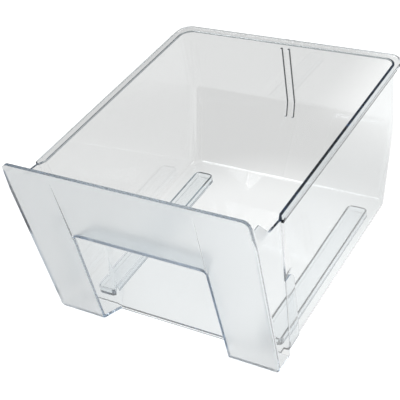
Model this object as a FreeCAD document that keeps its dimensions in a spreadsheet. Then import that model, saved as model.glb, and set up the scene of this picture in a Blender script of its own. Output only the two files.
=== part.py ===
import FreeCAD, Part
import Sketcher
import math
import os

# Crisper drawer: a clear moulded tub, a front moulding joined to its open end,
# and two hollow runners under the floor.
# Millimetres, +Z up, +X to the right seen from the front, front towards -Y.
# The origin is at the bottom centre of the whole drawer.

SIZES = [
    # overall layout
    ("depth", 285.0),              # panel top to the back of the rim flange
    ("tub_height", 139.0),         # underside of the floor to the top of the rim
    ("runner_depth", 7.0),         # floor to the surface that the drawer stands on
    # tub
    ("tub_width", 223.6),          # outside, at the rim
    ("side_inset", 4.3),           # how far each side draws in from rim to floor
    ("tub_wall", 2.0),
    ("side_radius", 6.0),          # outside, between floor and side
    ("corner_radius", 13.0),       # outside, rear vertical corners
    ("back_setback", 1.4),         # how far the back wall draws in from rim to crease
    ("crease_height", 76.0),       # above the underside of the floor
    ("crease_radius", 12.0),
    ("back_lean", 30.0),           # how far the back wall leans in below the crease
    # rim flange
    ("flange_side", 4.8),          # outside the side walls
    ("flange_back", 4.6),          # outside the back wall
    ("flange_thick", 2.4),
    ("flange_radius", 14.0),
    ("flange_front", 41.0),        # panel top to the front ends of the flange
    ("bead_width", 1.5),           # raised outer edge of the flange
    ("bead_height", 0.9),
    # ribs on the back wall
    ("rib_pitch", 7.5),
    ("rib_width", 2.0),
    ("rib_proud", 2.2),
    ("rib_radius", 0.8),
    ("rib_top_gap", 5.0),          # below the rim
    ("rib_length", 72.0),
    # front moulding
    ("panel_height", 166.5),       # above the underside of the floor
    ("panel_rake", 15.0),          # how far the top leans forward of the bottom
    ("panel_wall", 3.2),
    ("panel_edge_radius", 1.5),    # outside, upright front corners
    ("panel_corner_radius", 6.0),  # outside, top corners
    ("panel_top_narrowing", 3.4),  # width lost between flange level and the top
    ("leg_drop", 1.0),             # legs reach this far below the floor
    ("leg_floor", 2.2),
    ("leg_radius", 4.0),           # outside, between a leg's foot and its side
    ("inside_radius", 1.5),
    ("wing_wall", 2.2),
    ("wing_stand_out", 0.6),       # inside of the wings, outside the tub's walls
    ("joint_clearance", 0.1),      # between tub and front moulding
    ("shoulder_height", 156.5),
    ("shoulder_length", 8.1),      # level top of the wing behind the panel
    ("shoulder_slope", 11.2),      # depth of the slope down to rim level
    ("wing_rise", 2.0),            # how far the wing's low top rises towards the slope
    ("shoulder_radius", 4.0),      # between panel and shoulder
    ("slope_radius", 2.0),         # head and foot of the slope
    ("wing_rear_rake", 6.8),       # the wing's rear edge, forward at the bottom
    ("tab_reach", 12.4),           # behind the flange ends
    ("tab_radius", 9.5),
    ("tab_top", 79.6),
    ("tab_bottom", 8.0),
    # finger recess and the field above it
    ("recess_height", 100.0),
    ("recess_mouth", 127.0),       # clear width at the panel
    ("recess_width", 111.0),       # clear width at its rear wall
    ("recess_top_back", 14.8),     # rear wall, forward of the flange ends, at the ceiling
    ("recess_wall", 2.7),
    ("recess_radius", 4.0),
    ("field_top", 160.0),
    ("field_top_width", 132.0),
    ("field_lip_width", 129.0),
    ("field_depth", 0.8),          # how far the field sits back at the lip
    ("field_bevel", 1.0),
    # open end of the tub, joined to the front moulding
    ("joggle_gap", 1.0),           # between a tab and the joggle above it
    ("joggle_edge", 2.0),          # straight part at the wall's front end
    ("joggle_length_top", 3.6),    # over which the wall steps out at the rim
    ("joggle_length_low", 16.0),
    # runners
    ("runner_pitch", 168.0),
    ("runner_width", 20.0),
    ("runner_front", 6.0),         # behind the flange ends
    ("runner_length", 185.0),
    ("runner_wall", 2.0),
    ("runner_radius", 5.0),
]

doc = FreeCAD.newDocument("crisper_drawer")
sizes = doc.addObject("Spreadsheet::Sheet", "sizes")
for row, (alias, value) in enumerate(SIZES, start=1):
    sizes.set(f"A{row}", alias)
    sizes.set(f"B{row}", str(value))
    sizes.setAlias(f"B{row}", alias)
doc.recompute()


def with_sheet(formula):
    """The formula with each size's name pointing at the sheet."""
    words = []
    word = ""
    for letter in formula + " ":
        if letter.isalnum() or letter == "_":
            word += letter
            continue
        words.append(f"sizes.{word}" if word in NAMES else word)
        words.append(letter)
        word = ""
    return "".join(words).strip()


NAMES = {alias for alias, _ in SIZES}


def number(formula):
    """The formula's value now, for a sketch's first guess and for picking edges."""
    return float(sizes.evalExpression(with_sheet(formula)))


# Places that several pieces share, as formulas of the sizes
FLANGE_END = "(-depth / 2 + flange_front)"          # y of the flange's front ends
FLOOR = "runner_depth"                              # z of the floor's underside
RIM = "(runner_depth + tub_height)"
PANEL_TOP = "(runner_depth + panel_height)"
LEG_FOOT = "(runner_depth - leg_drop)"
BACK_TOP = "(depth / 2 - flange_back)"              # y of the back wall's outside at the rim
RAKE = "(panel_rake / panel_height)"
PANEL_FLOOR_Y = "(-depth / 2 + panel_rake)"         # y of the panel's face at floor level
SIDE_DRAFT = "(side_inset / tub_height)"
RECESS_FOOT_BACK = "(wing_rear_rake + recess_wall)"
RECESS_RAKE = f"((recess_top_back - {RECESS_FOOT_BACK}) / recess_height)"
RECESS_FOOT_DEPTH = f"(flange_front - panel_rake - {RECESS_FOOT_BACK})"
RECESS_SPLAY = f"((recess_mouth - recess_width) / 2 / {RECESS_FOOT_DEPTH})"


def panel_face(height):
    """y of the panel's outer face at a height above the floor's underside."""
    return f"({PANEL_FLOOR_Y} - {RAKE} * ({height}))"


def tub_half(height):
    """Outer half-width of the tub at a height above the floor's underside."""
    return f"(tub_width / 2 - side_inset + {SIDE_DRAFT} * ({height}))"


def wing_inner(height):
    """Inner half-width of the front moulding, clear of the tub's outside."""
    return f"({tub_half(height)} + wing_stand_out)"


def wing_outer(height):
    """Outer half-width of the front moulding."""
    return f"({wing_inner(height)} + wing_wall)"


PANEL_TOP_HALF = f"({wing_outer('tub_height')} - panel_top_narrowing / 2)"


def wing_rear(height):
    """y of the wing's rear edge at a height above the floor's underside."""
    return f"({FLANGE_END} - wing_rear_rake * (tub_height - ({height})) / (tub_height + leg_drop))"


def tub_front(height):
    """y of the tub's open end at a height above the floor's underside."""
    return f"({wing_rear(height)} + joint_clearance)"


def new_body(name):
    body = doc.addObject("PartDesign::Body", name)
    body.Label = name
    return body


def polygon(sketch, corners):
    """A closed outline whose corners are bound to formulas."""
    points = [FreeCAD.Vector(number(u), number(v), 0) for u, v in corners]
    first = sketch.GeometryCount
    count = len(points)
    for i, point in enumerate(points):
        sketch.addGeometry(Part.LineSegment(point, points[(i + 1) % count]), False)
    for i in range(count):
        follower = first + (i + 1) % count
        sketch.addConstraint(Sketcher.Constraint("Coincident", first + i, 2, follower, 1))
    for i, (u, v) in enumerate(corners):
        for axis, formula in (("DistanceX", u), ("DistanceY", v)):
            rule = Sketcher.Constraint(axis, -1, 1, first + i, 1, number(formula))
            index = sketch.addConstraint(rule)
            sketch.setExpression(f"Constraints[{index}]", with_sheet(formula))


def new_sketch(body, name, role, offset="0"):
    """A sketch on one of the body's own origin planes, raised by an offset."""
    sketch = body.newObject("Sketcher::SketchObject", name)
    plane = next(f for f in body.Origin.OriginFeatures if f.Role == role)
    sketch.AttachmentSupport = [(plane, "")]
    sketch.MapMode = "FlatFace"
    if offset != "0":
        sketch.setExpression("AttachmentOffset.Base.z", with_sheet(offset))
    return sketch


def outline(body, name, role, corners, offset="0"):
    sketch = new_sketch(body, name, role, offset)
    polygon(sketch, corners)
    return sketch


def pad_both_ways(body, name, sketch, length):
    pad = body.newObject("PartDesign::Pad", name)
    pad.Profile = sketch
    pad.Midplane = True
    pad.setExpression("Length", with_sheet(length))
    doc.recompute()
    return pad


def cut_both_ways(body, name, sketch, length):
    cut = body.newObject("PartDesign::Pocket", name)
    cut.Profile = sketch
    cut.Midplane = True
    cut.setExpression("Length", with_sheet(length))
    doc.recompute()
    return cut


def loft(body, name, kind, sections):
    """A ruled loft from the last down to the first of the outlines, (height, corners) each."""
    sketches = []
    for i, (height, corners) in enumerate(reversed(sections)):
        sketches.append(outline(body, f"{name}_outline_{i + 1}", "XY_Plane", corners, height))
    doc.recompute()
    feature = body.newObject(f"PartDesign::{kind}Loft", name)
    feature.Profile = sketches[0]
    feature.Sections = sketches[1:]
    feature.Ruled = True
    doc.recompute()
    return feature


def round_edges(body, name, radius, wanted):
    """Fillet the tip's edges that the test picks out by their middle and direction."""
    base = body.Tip
    names = []
    for i, edge in enumerate(base.Shape.Edges, start=1):
        if edge.Length < SHORTEST:
            continue
        middle = edge.valueAt((edge.FirstParameter + edge.LastParameter) / 2)
        along = edge.valueAt(edge.LastParameter) - edge.valueAt(edge.FirstParameter)
        if wanted(middle, along.normalize()):
            names.append(f"Edge{i}")
    fillet = body.newObject("PartDesign::Fillet", name)
    fillet.Base = (base, names)
    fillet.setExpression("Radius", with_sheet(radius))
    doc.recompute()
    return fillet


def mirrored(half):
    """A closed outline from its right half, given from the middle's foot upwards."""
    return half + [(f"-({u})", v) for u, v in reversed(half)]


FIELD_END = "0.01"     # depth that the field fades out to at its top
SHORTEST = 0.01        # edges shorter than this are left out of a search
BEYOND = "20"          # how far a cutting outline runs past what it cuts
OVERSIZE = "(tub_width + 60)"


def tub_solid(name, wall):
    """The tub's outside (wall 0) or its inside, set in by the wall."""
    body = new_body(name)
    inside = wall != "0"
    top = f"({RIM} + {BEYOND})" if inside else RIM
    front = f"-{BEYOND}" if inside else "0"
    foot = f"({FLOOR} + ({wall}))"
    lean = "(back_lean / crease_height)"
    back_foot = f"({BACK_TOP} - back_setback - back_lean + {lean} * ({wall}) - ({wall}))"
    crease = f"({BACK_TOP} - back_setback - ({wall}))"
    upper = f"(back_setback / (tub_height - crease_height) * (({top}) - {RIM}))"
    profile = [
        (f"({tub_front(wall)} + ({front}))", foot),
        (back_foot, foot),
        (crease, f"({FLOOR} + crease_height)"),
        (f"({BACK_TOP} + {upper} - ({wall}))", top),
        (f"({tub_front('tub_height')} + ({front}))", top),
    ]
    side = outline(body, f"{name}_side", "YZ_Plane", profile)
    pad_both_ways(body, f"{name}_block", side, OVERSIZE)
    half_foot = f"({tub_half(wall)} - ({wall}))"
    half_top = f"({tub_half(f'({top}) - {FLOOR}')} - ({wall}))"
    keep = mirrored([(half_foot, foot), (half_top, top)])
    trim = new_sketch(body, f"{name}_front", "XZ_Plane")
    polygon(trim, keep)
    wide = f"({OVERSIZE} / 2 + {BEYOND})"
    low = f"({FLOOR} - {BEYOND})"
    high = f"({RIM} + 2 * {BEYOND})"
    polygon(trim, mirrored([(wide, low), (wide, high)]))
    cut_both_ways(body, f"{name}_sides", trim, f"(2 * depth + 2 * {BEYOND})")
    crease_y = number(crease)
    crease_z = number(f"{FLOOR} + crease_height")
    radius = f"(crease_radius - ({wall}))"
    round_edges(body, f"{name}_crease", radius, lambda p, d: (
        abs(d.x) > 0.9 and abs(p.y - crease_y) < 1 and abs(p.z - crease_z) < 1))
    radius = f"(corner_radius - ({wall}))"
    half_way = number(f"{BACK_TOP} / 2")
    round_edges(body, f"{name}_corners", radius, lambda p, d: (
        abs(d.x) < 0.5 and abs(d.y) < 0.9 and p.y > half_way and abs(d.z) > 0.3))
    floor_z = number(foot)
    front_y = number(f"{FLANGE_END} + {front}")
    radius = f"(side_radius - ({wall}))"
    round_edges(body, f"{name}_foot", radius, lambda p, d: (
        abs(p.z - floor_z) < 0.01 and p.y > front_y))
    return body


def joggle(body, name, start, end, straight, top):
    """Above the tabs, steps the tub's outside or its inside out to the wing's at its front end."""
    def plan(height, length):
        front = tub_front(height)
        beyond = f"({front} - {BEYOND} / 4)" if straight == "0" else front
        return mirrored([
            (end(height), beyond), (end(height), f"({front} + {straight})"),
            (start(height), f"({front} + {straight} + {length})"),
        ])

    low = "(tab_top + joggle_gap)"
    loft(body, name, "Additive", [
        (f"({FLOOR} + {low})", plan(low, "joggle_length_low")),
        (f"({FLOOR} + {top})", plan(top, "joggle_length_top"))])


def rim_flange(body):
    """A flange round the top of the outer tub, with a low bead along its outer edge."""
    level = f"({RIM} - flange_thick)"
    half = "(tub_width / 2 + flange_side)"
    front = tub_front("tub_height")
    ring = [
        (half, front), (half, "depth / 2"),
        (f"-{half}", "depth / 2"), (f"-{half}", front),
    ]
    sketch = outline(body, "flange_outline", "XY_Plane", ring, level)
    doc.recompute()
    pad = body.newObject("PartDesign::Pad", "flange")
    pad.Profile = sketch
    pad.setExpression("Length", with_sheet("flange_thick + bead_height"))
    doc.recompute()
    rear = number("depth / 2")
    side = number(half)
    round_edges(body, "flange_corners", "flange_radius", lambda p, d: (
        abs(d.z) > 0.9 and abs(p.y - rear) < 0.1 and abs(abs(p.x) - side) < 0.1))


def within_bead():
    """The room over the flange, inside the bead along its outer edge."""
    body = new_body("within_bead")
    half = "(tub_width / 2 + flange_side - bead_width)"
    back = "(depth / 2 - bead_width)"
    front = f"({FLANGE_END} - {BEYOND})"
    sketch = outline(body, "within_bead_outline", "XY_Plane", [
        (half, front), (half, back), (f"-{half}", back), (f"-{half}", front)], RIM)
    doc.recompute()
    pad = body.newObject("PartDesign::Pad", "within_bead_block")
    pad.Profile = sketch
    pad.setExpression("Length", with_sheet(BEYOND))
    doc.recompute()
    rear = number(back)
    round_edges(body, "within_bead_corners", "(flange_radius - bead_width)", lambda p, d: (
        abs(d.z) > 0.9 and abs(p.y - rear) < 0.1))
    return body


def wall_ribs():
    """Two upright ribs on the inside of the back wall, from below the rim past the crease."""
    body = new_body("wall_ribs")
    crease = f"({BACK_TOP} - back_setback - tub_wall)"
    drop = "(rib_top_gap + rib_length + crease_height - tub_height)"
    foot = f"({crease} - back_lean / crease_height * {drop})"
    head_z = f"({RIM} - rib_top_gap)"
    crease_z = f"({FLOOR} + crease_height)"
    foot_z = f"({RIM} - rib_top_gap - rib_length)"
    root = "tub_wall / 2"
    profile = outline(body, "rib_side", "YZ_Plane", [
        (f"{foot} - rib_proud", foot_z), (f"{foot} + {root}", foot_z),
        (f"{crease} + {root}", crease_z), (f"{crease} + back_setback + {root}", head_z),
        (f"{crease} + back_setback - rib_proud", head_z), (f"{crease} - rib_proud", crease_z),
    ])
    pad_both_ways(body, "rib_block", profile, "rib_pitch + rib_width")
    far_y = f"({BACK_TOP} + {BEYOND})"
    near_y = f"({foot} - {BEYOND})"
    gap = outline(body, "rib_gap_side", "YZ_Plane", [
        (near_y, f"({foot_z} - 1)"), (far_y, f"({foot_z} - 1)"),
        (far_y, f"({RIM} + 1)"), (near_y, f"({RIM} + 1)"),
    ])
    cut_both_ways(body, "rib_gap", gap, "rib_pitch - rib_width")
    wall_y = number(crease)
    crease_up = number(crease_z)
    lean = number("back_lean / crease_height")
    round_edges(body, "rib_noses", "rib_radius", lambda p, d: (
        abs(d.z) > 0.5 and p.y < wall_y - lean * max(0, crease_up - p.z)))
    return body


def make_tub():
    """Floor, sides, back, rim flange and the pair of ribs: one moulding."""
    outer = tub_solid("tub_outside", "0")
    joggle(outer, "joggle_outside", tub_half, wing_outer, "joggle_edge", "tub_height")
    rim_flange(outer)
    inner = tub_solid("tub_inside", "tub_wall")
    joggle(inner, "joggle_inside", lambda height: f"({tub_half(height)} - tub_wall)",
           wing_inner, "0", f"(tub_height + {BEYOND})")
    room = doc.addObject("Part::MultiFuse", "tub_room")
    room.Shapes = [inner, within_bead()]
    shell = doc.addObject("Part::Cut", "tub_shell")
    shell.Base = outer
    shell.Tool = room
    doc.recompute()
    tub = doc.addObject("Part::MultiFuse", "tub")
    tub.Shapes = [shell, wall_ribs()]
    tub.Refine = True
    tub.Label = "tub"
    return tub


def front_outline(sketch):
    """The front moulding seen from the front, with drafted sides and narrowed top."""
    half_rim = wing_outer("tub_height")
    polygon(sketch, mirrored([(wing_outer("-leg_drop"), LEG_FOOT), (half_rim, RIM),
                              (PANEL_TOP_HALF, PANEL_TOP)]))


def corner_outside(sketch, sign):
    """What lies outside a rounded top corner of the panel."""
    half = PANEL_TOP_HALF
    inward = f"({half} - panel_corner_radius)"
    below = f"({PANEL_TOP} - panel_corner_radius)"
    corners = [
        (inward, PANEL_TOP), (inward, f"({PANEL_TOP} + {BEYOND})"),
        (f"({half} + {BEYOND})", f"({PANEL_TOP} + {BEYOND})"), (f"({half} + {BEYOND})", below),
        (half, below),
    ]
    corners = [(f"({sign}{u})", v) for u, v in corners]
    points = [FreeCAD.Vector(number(u), number(v), 0) for u, v in corners]
    first = sketch.GeometryCount
    for start, end in zip(points, points[1:]):
        sketch.addGeometry(Part.LineSegment(start, end), False)
    centre = FreeCAD.Vector(points[0].x, points[-1].y, 0)
    circle = Part.Circle(centre, FreeCAD.Vector(0, 0, 1), number("panel_corner_radius"))
    right = sign == ""
    turn = (0, math.pi / 2) if right else (math.pi / 2, math.pi)
    arc = sketch.addGeometry(Part.ArcOfCircle(circle, *turn), False)
    for i in range(first, arc - 1):
        sketch.addConstraint(Sketcher.Constraint("Coincident", i, 2, i + 1, 1))
    ends = (1, 2) if right else (2, 1)
    sketch.addConstraint(Sketcher.Constraint("Coincident", arc - 1, 2, arc, ends[0]))
    sketch.addConstraint(Sketcher.Constraint("Coincident", arc, ends[1], first, 1))
    ends = [(i, 1) for i in range(first, arc)] + [(arc - 1, 2)]
    for end, (u, v) in zip(ends, corners):
        for axis, formula in (("DistanceX", u), ("DistanceY", v)):
            rule = Sketcher.Constraint(axis, -1, 1, *end, number(formula))
            sketch.setExpression(f"Constraints[{sketch.addConstraint(rule)}]", with_sheet(formula))
    rule = Sketcher.Constraint("Radius", arc, number("panel_corner_radius"))
    index = sketch.addConstraint(rule)
    sketch.setExpression(f"Constraints[{index}]", with_sheet("panel_corner_radius"))


def front_block(body):
    """The front moulding's outside, with its tabs, before it is hollowed."""
    shoulder_z = f"({FLOOR} + shoulder_height)"
    shoulder = f"({panel_face('shoulder_height')} + panel_wall)"
    slope_head = f"({shoulder} + shoulder_length)"
    slope_foot = f"({slope_head} + shoulder_slope)"
    profile = [
        (panel_face("-leg_drop"), LEG_FOOT), (wing_rear("-leg_drop"), LEG_FOOT),
        (FLANGE_END, RIM), (slope_foot, f"({RIM} + wing_rise)"),
        (slope_head, shoulder_z), (shoulder, shoulder_z),
        (f"({panel_face('panel_height')} + panel_wall)", PANEL_TOP),
        (panel_face("panel_height"), PANEL_TOP),
    ]
    side = outline(body, "front_side", "YZ_Plane", profile)
    pad_both_ways(body, "front_block", side, OVERSIZE)
    for name, radius, bends in (
            ("shoulder_foot", "shoulder_radius", [(shoulder, shoulder_z)]),
            ("slope_ends", "slope_radius", [
                (slope_head, shoulder_z), (slope_foot, f"({RIM} + wing_rise)")])):
        places = [(number(y), number(z)) for y, z in bends]
        round_edges(body, name, radius, lambda p, d: abs(d.x) > 0.9 and any(
            math.hypot(p.y - y, p.z - z) < 0.1 for y, z in places))

    tab = new_sketch(body, "tab_outline", "YZ_Plane")
    tab_rear = f"({FLANGE_END} + tab_reach)"
    tab_front = wing_rear("-leg_drop")
    tab_foot = f"({FLOOR} + tab_bottom)"
    tab_head = f"({FLOOR} + tab_top)"
    polygon(tab, [(tab_front, tab_foot), (tab_rear, tab_foot),
                  (tab_rear, tab_head), (tab_front, tab_head)])
    pad_both_ways(body, "tabs", tab, OVERSIZE)
    rear = number(tab_rear)
    head = number(tab_head)
    round_edges(body, "tab_ends", "tab_radius", lambda p, d: (
        abs(d.x) > 0.9 and abs(p.z - head) < 0.1 and abs(p.y - rear) < 0.1))

    trim = new_sketch(body, "front_view", "XZ_Plane")
    front_outline(trim)
    wide = f"({OVERSIZE} / 2 + {BEYOND})"
    polygon(trim, mirrored([(wide, f"({FLOOR} - {BEYOND})"), (wide, f"({PANEL_TOP} + {BEYOND})")]))
    cut_both_ways(body, "front_sides", trim, f"(2 * depth + 2 * {BEYOND})")

    top = number(PANEL_TOP)
    foot = number(LEG_FOOT)
    wing = number("tub_width / 2 - side_inset - 1")
    face_top = number(panel_face("panel_height"))
    face_foot = number(panel_face("-leg_drop"))

    def on_face(p):
        share = (p.z - foot) / (top - foot)
        return abs(p.y - (face_foot + share * (face_top - face_foot))) < 0.3

    round_edges(body, "leg_feet", "leg_radius", lambda p, d: (
        abs(p.z - foot) < 0.1 and abs(p.x) > wing and abs(d.y) > 0.9))
    round_edges(body, "panel_edges", "panel_edge_radius", lambda p, d: (
        on_face(p) and abs(p.x) > wing and abs(d.z) > 0.9))
    corners = new_sketch(body, "panel_corners_outline", "XZ_Plane")
    for sign in ("", "-"):
        corner_outside(corners, sign)
    cut_both_ways(body, "panel_corners", corners, f"(2 * depth + 2 * {BEYOND})")


def front_hollow():
    """The space inside the front moulding, open behind and above, down to the legs' floors."""
    body = new_body("front_inside")

    def plan(height):
        half = wing_inner(height)
        front = f"({panel_face(height)} + panel_wall)"
        rear = f"({FLANGE_END} + tab_reach + {BEYOND})"
        return [(half, front), (half, rear), (f"-{half}", rear), (f"-{half}", front)]

    floor = "(leg_floor - leg_drop)"
    top = f"(panel_height + {BEYOND})"
    loft(body, "inside_block", "Additive", [
        (f"({FLOOR} + {floor})", plan(floor)), (f"({FLOOR} + {top})", plan(top))])
    floor_z = number(f"{FLOOR} + {floor}")
    ceiling_z = number(f"{FLOOR} + {top}")
    middle_y = number(FLANGE_END)
    round_edges(body, "inside_edges", "inside_radius", lambda p, d: (
        p.y < middle_y and p.z < ceiling_z - 1) or (abs(p.z - floor_z) < 0.1 and abs(d.y) > 0.9))
    return body


def recess_solid(name, grow):
    """The finger recess, or with a wall's thickness the hump that it makes inside the drawer."""
    body = new_body(name)
    shell = grow != "0"
    low = "-leg_drop" if shell else f"(-leg_drop - {BEYOND} / 4)"
    high = f"(recess_height + ({grow}))"

    def plan(height):
        front = "(panel_wall / 2)" if shell else f"(-{BEYOND} / 4)"
        face = f"({panel_face(height)} + {front})"
        back = f"({FLANGE_END} - {RECESS_FOOT_BACK} - {RECESS_RAKE} * ({height}) + ({grow}))"
        mouth = f"(recess_mouth / 2 + ({grow}) - {RECESS_SPLAY} * {front})"
        inner = f"(recess_mouth / 2 + ({grow}) - {RECESS_SPLAY} * ({back} - {panel_face(height)}))"
        return [(inner, back), (f"-{inner}", back), (f"-{mouth}", face), (mouth, face)]

    loft(body, f"{name}_block", "Additive", [
        (f"({FLOOR} + {low})", plan(low)), (f"({FLOOR} + {high})", plan(high))])
    ceiling = number(f"{FLOOR} + {high}")
    mouth_y = number(plan(high)[2][1])
    panel_foot_y = number(panel_face("0"))
    round_edges(body, f"{name}_edges", f"(recess_radius + ({grow}))", lambda p, d: (
        (abs(p.z - ceiling) < 0.1 and p.y > mouth_y + 1) or (abs(d.z) > 0.9 and p.y > panel_foot_y)))
    return body


def field_solid():
    """What the shallow field over the recess takes from the panel's face."""
    body = new_body("field")

    def plan(height, depth, half):
        face = panel_face(height)
        return [
            (f"({half} - field_bevel)", f"({face} + {depth})"),
            (f"(-{half} + field_bevel)", f"({face} + {depth})"),
            (f"(-{half})", face), (f"(-{half})", f"({face} - {BEYOND} / 4)"),
            (half, f"({face} - {BEYOND} / 4)"), (half, face),
        ]

    lip = "(recess_height - recess_radius)"
    loft(body, "field_block", "Additive", [
        (f"({FLOOR} + {lip})", plan(lip, "field_depth", "field_lip_width / 2")),
        (f"({FLOOR} + field_top)", plan("field_top", FIELD_END, "field_top_width / 2")),
    ])
    return body


def make_front():
    """Panel, wings, legs, finger recess and the two tabs: one moulding."""
    body = new_body("front_shell")
    front_block(body)
    walls = doc.addObject("Part::Cut", "front_walls")
    walls.Base = body
    walls.Tool = front_hollow()
    whole = doc.addObject("Part::MultiFuse", "front_with_recess")
    whole.Shapes = [walls, recess_solid("recess_hump", "recess_wall")]
    whole.Refine = True
    taken = doc.addObject("Part::MultiFuse", "front_taken")
    taken.Shapes = [recess_solid("recess", "0"), field_solid()]
    front = doc.addObject("Part::Cut", "front_panel")
    front.Base = whole
    front.Tool = taken
    front.Refine = True
    front.Label = "front_panel"
    return front


def make_runner(name, sign):
    """A hollow runner, open towards the floor that it is welded to."""
    body = new_body(name)
    middle = f"({sign}(runner_pitch / 2))"
    front = f"({FLANGE_END} + runner_front)"
    rear = f"({FLANGE_END} + runner_front + runner_length)"
    for stage, inset, level in (("outside", "0", "0"), ("inside", "runner_wall", "runner_wall")):
        corners = [
            (f"({middle} - runner_width / 2 + {inset})", f"({front} + {inset})"),
            (f"({middle} + runner_width / 2 - {inset})", f"({front} + {inset})"),
            (f"({middle} + runner_width / 2 - {inset})", f"({rear} - {inset})"),
            (f"({middle} - runner_width / 2 + {inset})", f"({rear} - {inset})"),
        ]
        sketch = outline(body, f"{name}_{stage}_outline", "XY_Plane", corners, level)
        doc.recompute()
        cutting = stage == "inside"
        kind = "PartDesign::Pocket" if cutting else "PartDesign::Pad"
        feature = body.newObject(kind, f"{name}_{stage}")
        feature.Profile = sketch
        feature.Reversed = cutting
        feature.setExpression("Length", with_sheet("runner_depth"))
        doc.recompute()
        if not cutting:
            round_edges(body, f"{name}_ends", "runner_radius", lambda p, d: abs(d.z) > 0.9)
    return body


def check_and_export(pieces):
    doc.recompute()
    failed = [o.Label for o in doc.Objects if "Invalid" in o.State or "Error" in o.State]
    if failed:
        raise RuntimeError(f"features that failed: {failed}")
    os.makedirs("parts", exist_ok=True)
    for piece in pieces:
        if piece.Shape.isNull() or not piece.Shape.isValid():
            raise RuntimeError(f"{piece.Label} has no valid shape")
        box = piece.Shape.BoundBox
        print(piece.Label, len(piece.Shape.Solids), round(piece.Shape.Volume / 1000, 2), box)
        piece.Shape.exportStep(f"parts/{piece.Label}.step")


check_and_export([
    make_tub(),
    make_front(),
    make_runner("runner_left", "-"),
    make_runner("runner_right", ""),
])
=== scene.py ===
import math

import bmesh
import bpy
from bpy.props import FloatProperty, FloatVectorProperty, PointerProperty, StringProperty
from mathutils import Matrix, Vector


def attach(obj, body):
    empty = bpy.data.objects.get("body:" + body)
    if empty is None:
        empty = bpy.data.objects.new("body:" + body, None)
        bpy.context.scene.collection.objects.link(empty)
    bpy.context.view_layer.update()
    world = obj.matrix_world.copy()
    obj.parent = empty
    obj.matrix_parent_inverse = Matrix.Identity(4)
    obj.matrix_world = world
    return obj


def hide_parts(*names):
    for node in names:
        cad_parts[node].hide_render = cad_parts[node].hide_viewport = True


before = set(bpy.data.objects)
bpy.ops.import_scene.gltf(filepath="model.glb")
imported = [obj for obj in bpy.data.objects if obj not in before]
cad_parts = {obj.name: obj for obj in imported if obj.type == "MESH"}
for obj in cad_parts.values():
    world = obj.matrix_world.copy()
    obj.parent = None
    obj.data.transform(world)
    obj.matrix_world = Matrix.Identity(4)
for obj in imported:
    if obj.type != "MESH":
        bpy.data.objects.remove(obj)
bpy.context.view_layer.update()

bl_info = {
    "name": "Crisper Drawer",
    "version": (1, 0, 0),
    "blender": (4, 5, 0),
    "location": "View3D > Sidebar > Crisper",
    "description": "Dresses a clear moulded refrigerator drawer and sets it in a white studio",
    "category": "Object",
}

# Lengths are in metres. FACED, JOINT_FACED and RIB_FACED are least cosines between a
# surface's normal and a direction.
# The raked front face lies where y + FACE_RAKE * z = FACE_PLACE.
FACE_RAKE = 0.09009
FACE_PLACE = -0.12687
FACE_DEPTH = 0.0011
FACED = 0.97
# The bonded end faces lie where y + JOINT_RAKE * z = JOINT_PLACE, above the tabs.
JOINT_RAKE = -0.04857
JOINT_PLACE = -0.10854
JOINT_REACH = 0.0003
JOINT_FACED = 0.9
TAB_TOP = 0.0876
# The middle of the side walls lies where |x| - SIDE_DRAFT * z = MID_WALL. Below the tabs'
# tops the walls' front ends are cemented to the tabs over this reach.
SIDE_DRAFT = 0.03094
MID_WALL = 0.10628
LAP_OUT = 0.1
LAP_REACH = 0.003
# The ribs stand this near the middle and this far back. Painted shade on their right flanks
# stands in for dark refraction lines.
RIB_OUT = 0.006
RIB_BACK = 0.1
RIB_FACED = 0.6
# The field's folds stand this far out, above the recess, and take this share of painted shade,
# standing in for their dark refraction lines.
FOLD_OUT = 0.0655
FOLD_REACH = 0.003
RECESS_TOP = 0.108
FOLD_PAINTED_SHADE = 0.6

# Roughness of polished plastic, and how much light passes where painted shade stands in for dark
# refraction lines.
POLISHED = 0.02
PAINTED_SHADE_PASS = 0.1

MERGE_DISTANCE = 1e-6
FLAT_ANGLE = math.radians(0.5)
SHARP_ANGLE = math.radians(25)

# What the plastic sees of the floor: a painted glow whose strength falls with the distance from
# the middle, and that is raised to the right and again behind the right corner as painted
# highlights.
FLOOR_FALL = {"From Min": 0.08, "From Max": 0.17, "To Min": 1.02, "To Max": 0.785}
FLOOR_RIGHT = {"From Min": 0.0, "From Max": 0.08, "To Min": 0.0, "To Max": 0.08}
FLOOR_BEHIND = {"From Min": 0.2, "From Max": 0.28, "To Min": 0.0, "To Max": 0.22}
FLOOR_CORNER = {"From Min": -0.05, "From Max": 0.03}
# What it sees of the room: a strength that rises with how steeply it looks up.
ROOM_RISE = {"From Min": 0.25, "From Max": 0.75, "To Min": 0.03, "To Max": 0.55}
FLOOR_SIZE = 6
FLOOR_GAP = 0.0002
# Name, place, size and watts of each lamp, and what the lamps are aimed at.
LAMPS = (("key", (-0.9, -0.6, 1.4), 0.9, 9.0), ("fill", (1.2, 0.4, 1.3), 0.8, 6.0))
LAMP_AIM = (0, 0, 0.08)
BOUNCES = 128
CLEAR_BOUNCES = 32


def linear(hex_colour, alpha=1.0):
    """An sRGB hex colour as the linear values that shaders take."""
    parts = [int(hex_colour[i:i + 2], 16) / 255 for i in (1, 3, 5)]
    shades = (p / 12.92 if p <= 0.04045 else ((p + 0.055) / 1.055) ** 2.4 for p in parts)
    return tuple(shades) + (alpha,)


def add_node(tree, kind, inputs=None, **settings):
    """Add a node and set its fields. An input takes a value or another node's output."""
    node = tree.nodes.new(kind)
    for key, value in settings.items():
        setattr(node, key, value)
    for key, value in (inputs or {}).items():
        if isinstance(value, bpy.types.NodeSocket):
            tree.links.new(value, node.inputs[key])
        else:
            node.inputs[key].default_value = value
    return node


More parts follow.
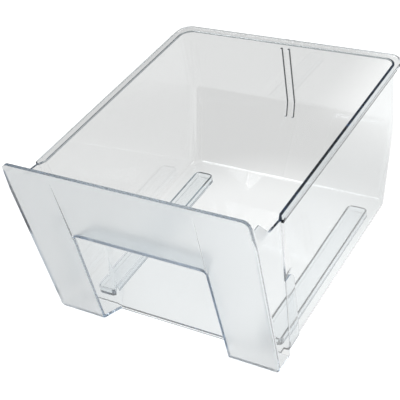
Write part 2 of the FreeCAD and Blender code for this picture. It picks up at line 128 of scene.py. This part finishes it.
class PlasticSettings(bpy.types.PropertyGroup):
    """What the clear plastic is like."""

    tint: StringProperty(name="Tint", description="Surface tint, sRGB hex", default="#FAFCFD")
    # Painted shade: a dark tint on the ribs' flanks and the field's folds, standing in for their
    # dark refraction lines.
    painted_shade_tint: StringProperty(
        name="Flank", description="Tint of the ribs' flanks and the field's folds, sRGB hex",
        default="#2C3036")
    depth_colour: FloatVectorProperty(
        name="Depth colour", description="What is left of white light deep in the plastic",
        subtype="COLOR", size=3, default=(0.30, 0.42, 0.55))
    tub_density: FloatProperty(
        name="Tub density", description="Absorption per metre in the tub", default=11.0)
    front_density: FloatProperty(
        name="Front density", description="Absorption per metre in the front", default=12.0)
    refraction: FloatProperty(name="Refraction", description="Index of refraction", default=1.57)
    edge_round: FloatProperty(
        name="Edge round", description="Radius that the mould leaves on sharp edges",
        default=0.0003, unit="LENGTH")
    frost: FloatProperty(
        name="Frost", description="Roughness of the front face's fine texture", default=0.3)


class StudioSettings(bpy.types.PropertyGroup):
    """The camera."""

    camera_place: FloatVectorProperty(
        name="Camera place", description="Where the camera stands", subtype="TRANSLATION",
        default=(0.41538, -0.59638, 0.60858))
    camera_turn: FloatVectorProperty(
        name="Camera turn", description="How the camera is turned", subtype="EULER",
        default=(0.92078, 0.151231, 0.527855))
    lens: FloatProperty(name="Lens", description="Focal length on a 36 mm sensor", default=90.87)


def maths(tree, operation, *terms):
    """The result of a Math node on numbers or on other nodes' outputs."""
    return add_node(tree, "ShaderNodeMath", dict(enumerate(terms)),
                    operation=operation).outputs[0]


def all_of(tree, first, *others):
    """The product of masks."""
    for other in others:
        first = maths(tree, "MULTIPLY", first, other)
    return first


def along(tree, source, direction):
    """How far a position or a normal goes in a direction."""
    return add_node(tree, "ShaderNodeVectorMath", {0: source, 1: direction},
                    operation="DOT_PRODUCT").outputs["Value"]


def position(tree, place, direction):
    return along(tree, place.outputs["Object"], direction)


def facing(tree, place, direction):
    """How squarely a surface lies across a direction, seen from inside or outside alike."""
    return maths(tree, "ABSOLUTE", along(tree, place.outputs["Normal"], direction))


def smooth_ramp(tree, value, limits):
    return add_node(tree, "ShaderNodeMapRange", {"Value": value, **limits},
                    interpolation_type="SMOOTHSTEP").outputs[0]


def front_mask(tree, place):
    """1 on the raked front face of the front moulding, 0 elsewhere."""
    ahead = position(tree, place, (0, 1, FACE_RAKE))
    faced = facing(tree, place, (0, -1, -FACE_RAKE))
    return all_of(tree, maths(tree, "LESS_THAN", ahead, FACE_PLACE + FACE_DEPTH),
                  maths(tree, "GREATER_THAN", faced, FACED))


def joint_mask(tree, place):
    """1 on the end faces where the side walls are bonded above the tabs, 0 elsewhere."""
    behind = position(tree, place, (0, 1, JOINT_RAKE))
    faced = facing(tree, place, (0, 1, 0))
    rise = position(tree, place, (0, 0, 1))
    return all_of(tree, maths(tree, "COMPARE", behind, JOINT_PLACE, JOINT_REACH),
                  maths(tree, "GREATER_THAN", faced, JOINT_FACED),
                  maths(tree, "GREATER_THAN", rise, TAB_TOP))


def lap_mask(tree, place):
    """1 where the tub's side walls are cemented to the backs of the tabs, 0 elsewhere.

    The left skin of each wall is cleared over twice the reach.
    """
    behind = position(tree, place, (0, 1, JOINT_RAKE))
    rise = position(tree, place, (0, 0, 1))
    aside = position(tree, place, (1, 0, 0))
    out = maths(tree, "ABSOLUTE", aside)
    middle = maths(tree, "MULTIPLY_ADD", rise, SIDE_DRAFT, MID_WALL)
    within = maths(tree, "SUBTRACT", middle, out)
    inner = maths(tree, "MULTIPLY", maths(tree, "SIGN", aside), within)
    left_skin = maths(tree, "GREATER_THAN", inner, 0.0)
    reach = maths(tree, "MULTIPLY_ADD", left_skin, LAP_REACH, JOINT_PLACE + LAP_REACH)
    return all_of(tree, maths(tree, "LESS_THAN", behind, reach),
                  maths(tree, "LESS_THAN", rise, TAB_TOP),
                  maths(tree, "GREATER_THAN", out, LAP_OUT))


def tub_joint(tree, place):
    """1 wherever the tub is bonded to the front, 0 elsewhere."""
    return maths(tree, "MAXIMUM", joint_mask(tree, place), lap_mask(tree, place))


def rib_painted_shade_mask(tree, place):
    """1 on the right flanks of the two ribs on the back wall, where painted shade stands in for
    dark refraction lines, 0 elsewhere.
    """
    out = maths(tree, "ABSOLUTE", position(tree, place, (1, 0, 0)))
    back = position(tree, place, (0, 1, 0))
    turned = along(tree, place.outputs["Normal"], (1, 0, 0))
    return all_of(tree, maths(tree, "LESS_THAN", out, RIB_OUT),
                  maths(tree, "GREATER_THAN", back, RIB_BACK),
                  maths(tree, "GREATER_THAN", turned, RIB_FACED))


def fold_painted_shade_mask(tree, place):
    """The share of painted shade on the field's upright folds in the front face, standing in for
    their dark refraction lines, 0 elsewhere.
    """
    rise = position(tree, place, (0, 0, 1))
    ahead = position(tree, place, (0, 1, FACE_RAKE))
    out = maths(tree, "ABSOLUTE", position(tree, place, (1, 0, 0)))
    faced = facing(tree, place, (0, -1, -FACE_RAKE))
    fold = all_of(tree, maths(tree, "COMPARE", out, FOLD_OUT, FOLD_REACH),
                  maths(tree, "LESS_THAN", ahead, FACE_PLACE + FACE_DEPTH),
                  maths(tree, "GREATER_THAN", rise, RECESS_TOP),
                  maths(tree, "LESS_THAN", faced, FACED))
    return maths(tree, "MULTIPLY", fold, FOLD_PAINTED_SHADE)


def clear_polystyrene(name, density, bond_mask=None, painted_shade_mask=None, frost=None):
    """Crystal polystyrene, injection moulded and polished: clear, glossy, blue where it is deep.

    The surface vanishes where bond_mask is 1. Where its shade mask is, it takes a dark tint of
    painted shade that stands in for dark refraction lines.
    A frost is the roughness of the raked front face.
    """
    look = bpy.context.scene.crisper_plastic
    material = bpy.data.materials.new(name)
    material.use_nodes = True
    tree = material.node_tree
    tree.nodes.clear()
    place = add_node(tree, "ShaderNodeTexCoord")
    rough = POLISHED
    if frost is not None:
        rough = add_node(tree, "ShaderNodeMapRange", {
            "Value": front_mask(tree, place), "To Min": POLISHED, "To Max": frost}).outputs[0]
    # Painted shade: where the shade mask is, the plastic takes the dark tint and lets little
    # light through, standing in for dark refraction lines.
    dark = painted_shade_mask(tree, place) if painted_shade_mask else 0.0
    hue = add_node(tree, "ShaderNodeMix", {
        0: dark, 6: linear(look.tint), 7: linear(look.painted_shade_tint)}, data_type="RGBA")
    passed = add_node(tree, "ShaderNodeMapRange", {
        "Value": dark, "To Min": 1.0, "To Max": PAINTED_SHADE_PASS})
    polished = add_node(tree, "ShaderNodeBsdfPrincipled", {
        "IOR": look.refraction, "Base Color": hue.outputs[2], "Roughness": rough,
        "Transmission Weight": passed.outputs[0]})
    bonded = add_node(tree, "ShaderNodeBsdfTransparent")
    body = add_node(tree, "ShaderNodeMixShader", {
        0: bond_mask(tree, place) if bond_mask else 0.0,
        1: polished.outputs[0], 2: bonded.outputs[0]})
    path = add_node(tree, "ShaderNodeLightPath")
    shadow = add_node(tree, "ShaderNodeBsdfTransparent", {"Color": (0.93, 0.95, 0.96, 1)})
    mix = add_node(tree, "ShaderNodeMixShader", {
        0: path.outputs["Is Shadow Ray"], 1: body.outputs[0], 2: shadow.outputs[0]})
    deep = add_node(tree, "ShaderNodeVolumeAbsorption", {
        "Color": tuple(look.depth_colour) + (1,), "Density": density})
    add_node(tree, "ShaderNodeOutputMaterial", {
        "Surface": mix.outputs[0], "Volume": deep.outputs[0]})
    return material


def at_joint(point):
    """Whether a point lies on the bonded end faces, whose edges stay unrounded."""
    plane = point.y + JOINT_RAKE * point.z
    return abs(plane - JOINT_PLACE) < JOINT_REACH and point.z > TAB_TOP


def merged_copy(node, name):
    """A construction node's skin in one, with its sharp edges rounded as a mould leaves them."""
    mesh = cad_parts[node].data.copy()
    mesh.name = name
    skin = bmesh.new()
    skin.from_mesh(mesh)
    bmesh.ops.remove_doubles(skin, verts=skin.verts, dist=MERGE_DISTANCE)
    bmesh.ops.dissolve_limit(skin, angle_limit=FLAT_ANGLE, verts=skin.verts, edges=skin.edges)
    bmesh.ops.connect_verts_concave(skin, faces=skin.faces)
    sharp = [e for e in skin.edges if e.is_manifold and e.calc_face_angle() > SHARP_ANGLE
             and not all(at_joint(v.co) for v in e.verts)]
    radius = bpy.context.scene.crisper_plastic.edge_round
    bmesh.ops.bevel(skin, geom=sharp, offset=radius, offset_type="OFFSET", affect="EDGES",
                    segments=2, profile=0.5, material=-1, clamp_overlap=True)
    skin.to_mesh(mesh)
    skin.free()
    piece = bpy.data.objects.new(name, mesh)
    bpy.context.scene.collection.objects.link(piece)
    for face in mesh.polygons:
        face.use_smooth = True
    mesh.set_sharp_from_angle(angle=SHARP_ANGLE)
    normals = piece.modifiers.new("normals", "WEIGHTED_NORMAL")
    normals.keep_sharp = True
    return piece


def finish_piece(piece, node, material):
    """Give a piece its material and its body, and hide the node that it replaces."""
    piece.data.materials.clear()
    piece.data.materials.append(material)
    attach(piece, "root")
    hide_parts(node)


class CRISPER_OT_tub(bpy.types.Operator):
    """Dress the tub"""

    bl_idname = "crisper.tub"
    bl_label = "Tub"

    def execute(self, context):
        look = context.scene.crisper_plastic
        piece = merged_copy("tub", "clear_tub")
        material = clear_polystyrene("polystyrene_tub", look.tub_density, tub_joint, rib_painted_shade_mask)
        finish_piece(piece, "tub", material)
        return {"FINISHED"}


class CRISPER_OT_front(bpy.types.Operator):
    """Dress the front moulding"""

    bl_idname = "crisper.front"
    bl_label = "Front"

    def execute(self, context):
        look = context.scene.crisper_plastic
        piece = merged_copy("front_panel", "clear_front")
        material = clear_polystyrene(
            "polystyrene_front", look.front_density, joint_mask, fold_painted_shade_mask, look.frost)
        finish_piece(piece, "front_panel", material)
        return {"FINISHED"}


class CRISPER_OT_runners(bpy.types.Operator):
    """Dress the two runners"""

    bl_idname = "crisper.runners"
    bl_label = "Runners"

    def execute(self, context):
        look = context.scene.crisper_plastic
        material = clear_polystyrene("polystyrene_runner", look.tub_density)
        for side in ("left", "right"):
            piece = merged_copy(f"runner_{side}", f"clear_runner_{side}")
            finish_piece(piece, f"runner_{side}", material)
        return {"FINISHED"}


def add_camera(scene):
    studio = scene.crisper_studio
    camera_data = bpy.data.cameras.new("camera")
    camera_data.lens = studio.lens
    camera_data.sensor_width = 36
    camera = bpy.data.objects.new("camera", camera_data)
    camera.location = studio.camera_place
    camera.rotation_euler = studio.camera_turn
    scene.collection.objects.link(camera)
    scene.camera = camera


def white_paper():
    """Matt white paper with a soft even glow. The plastic sees a painted glow on it instead,
    brightest under the drawer.
    """
    paint = bpy.data.materials.new("white_paper")
    paint.use_nodes = True
    tree = paint.node_tree
    tree.nodes.clear()
    matt = add_node(tree, "ShaderNodeBsdfDiffuse", {"Color": linear("#F4F4F4")})
    glow = add_node(tree, "ShaderNodeEmission", {"Color": (1, 1, 1, 1), "Strength": 0.35})
    both = add_node(tree, "ShaderNodeAddShader", {0: matt.outputs[0], 1: glow.outputs[0]})
    place = add_node(tree, "ShaderNodeTexCoord")
    away = add_node(tree, "ShaderNodeVectorMath", {0: place.outputs["Object"]},
                    operation="LENGTH").outputs["Value"]
    aside = position(tree, place, (1, 0, 0))
    strength = maths(tree, "ADD", smooth_ramp(tree, away, FLOOR_FALL),
                     smooth_ramp(tree, aside, FLOOR_RIGHT))
    strength = maths(tree, "MULTIPLY_ADD", smooth_ramp(tree, away, FLOOR_BEHIND),
                     smooth_ramp(tree, aside, FLOOR_CORNER), strength)
    # Painted glow: the floor as rays other than the camera's see it, graded by place.
    painted_glow = add_node(tree, "ShaderNodeEmission", {
        "Color": (1.0, 0.99, 0.975, 1), "Strength": strength})
    path = add_node(tree, "ShaderNodeLightPath")
    seen = add_node(tree, "ShaderNodeMixShader", {
        0: path.outputs["Is Camera Ray"], 1: painted_glow.outputs[0], 2: both.outputs[0]})
    add_node(tree, "ShaderNodeOutputMaterial", {"Surface": seen.outputs[0]})
    return paint


def add_floor(scene):
    floor_mesh = bpy.data.meshes.new("floor")
    plane = bmesh.new()
    bmesh.ops.create_grid(plane, x_segments=1, y_segments=1, size=FLOOR_SIZE)
    plane.to_mesh(floor_mesh)
    plane.free()
    floor = bpy.data.objects.new("floor", floor_mesh)
    scene.collection.objects.link(floor)
    floor_mesh.transform(Matrix.Translation((0, 0, -FLOOR_GAP)))
    floor_mesh.materials.append(white_paper())


def add_room(scene):
    """Surroundings that look white, light the floor evenly and give the plastic its greys."""
    world = bpy.data.worlds.new("studio")
    scene.world = world
    world.use_nodes = True
    tree = world.node_tree
    tree.nodes.clear()
    path = add_node(tree, "ShaderNodeLightPath")
    way = add_node(tree, "ShaderNodeTexCoord")
    rise = along(tree, way.outputs["Generated"], (0, 0, 1))
    dark = add_node(tree, "ShaderNodeBackground", {
        "Color": (0.90, 0.95, 0.96, 1), "Strength": smooth_ramp(tree, rise, ROOM_RISE)})
    even = add_node(tree, "ShaderNodeBackground", {"Color": (1, 1, 1, 1), "Strength": 0.6})
    white = add_node(tree, "ShaderNodeBackground", {"Color": (1, 1, 1, 1), "Strength": 1.0})
    lit = add_node(tree, "ShaderNodeMixShader", {
        0: path.outputs["Is Diffuse Ray"], 1: dark.outputs[0], 2: even.outputs[0]})
    sky = add_node(tree, "ShaderNodeMixShader", {
        0: path.outputs["Is Camera Ray"], 1: lit.outputs[0], 2: white.outputs[0]})
    add_node(tree, "ShaderNodeOutputWorld", {"Surface": sky.outputs[0]})


def add_lamps(scene):
    for name, place, size, power in LAMPS:
        lamp = bpy.data.lights.new(name, "AREA")
        lamp.size = size
        lamp.energy = power
        holder = bpy.data.objects.new(name, lamp)
        holder.location = place
        aim = Vector(LAMP_AIM) - Vector(place)
        holder.rotation_euler = aim.to_track_quat("-Z", "Y").to_euler()
        scene.collection.objects.link(holder)


class CRISPER_OT_stage(bpy.types.Operator):
    """Set the camera, the lamps, the floor and the white surroundings"""

    bl_idname = "crisper.stage"
    bl_label = "Stage"

    def execute(self, context):
        scene = context.scene
        add_camera(scene)
        add_floor(scene)
        add_room(scene)
        add_lamps(scene)
        scene.view_settings.view_transform = "Standard"
        scene.cycles.max_bounces = BOUNCES
        scene.cycles.transmission_bounces = BOUNCES
        scene.cycles.glossy_bounces = BOUNCES
        scene.cycles.transparent_max_bounces = CLEAR_BOUNCES
        return {"FINISHED"}


class CRISPER_PT_panel(bpy.types.Panel):
    """Crisper drawer"""

    bl_label = "Crisper Drawer"
    bl_space_type = "VIEW_3D"
    bl_region_type = "UI"
    bl_category = "Crisper"

    def draw(self, context):
        for operator in OPERATORS:
            self.layout.operator(operator.bl_idname)


OPERATORS = (CRISPER_OT_tub, CRISPER_OT_front, CRISPER_OT_runners, CRISPER_OT_stage)
CLASSES = (PlasticSettings, StudioSettings) + OPERATORS + (CRISPER_PT_panel,)


def register():
    for item in CLASSES:
        bpy.utils.register_class(item)
    bpy.types.Scene.crisper_plastic = PointerProperty(type=PlasticSettings)
    bpy.types.Scene.crisper_studio = PointerProperty(type=StudioSettings)


def unregister():
    del bpy.types.Scene.crisper_studio
    del bpy.types.Scene.crisper_plastic
    for item in reversed(CLASSES):
        bpy.utils.unregister_class(item)


def main():
    register()
    bpy.ops.crisper.tub()
    bpy.ops.crisper.front()
    bpy.ops.crisper.runners()
    bpy.ops.crisper.stage()


if __name__ == "__main__":
    main()
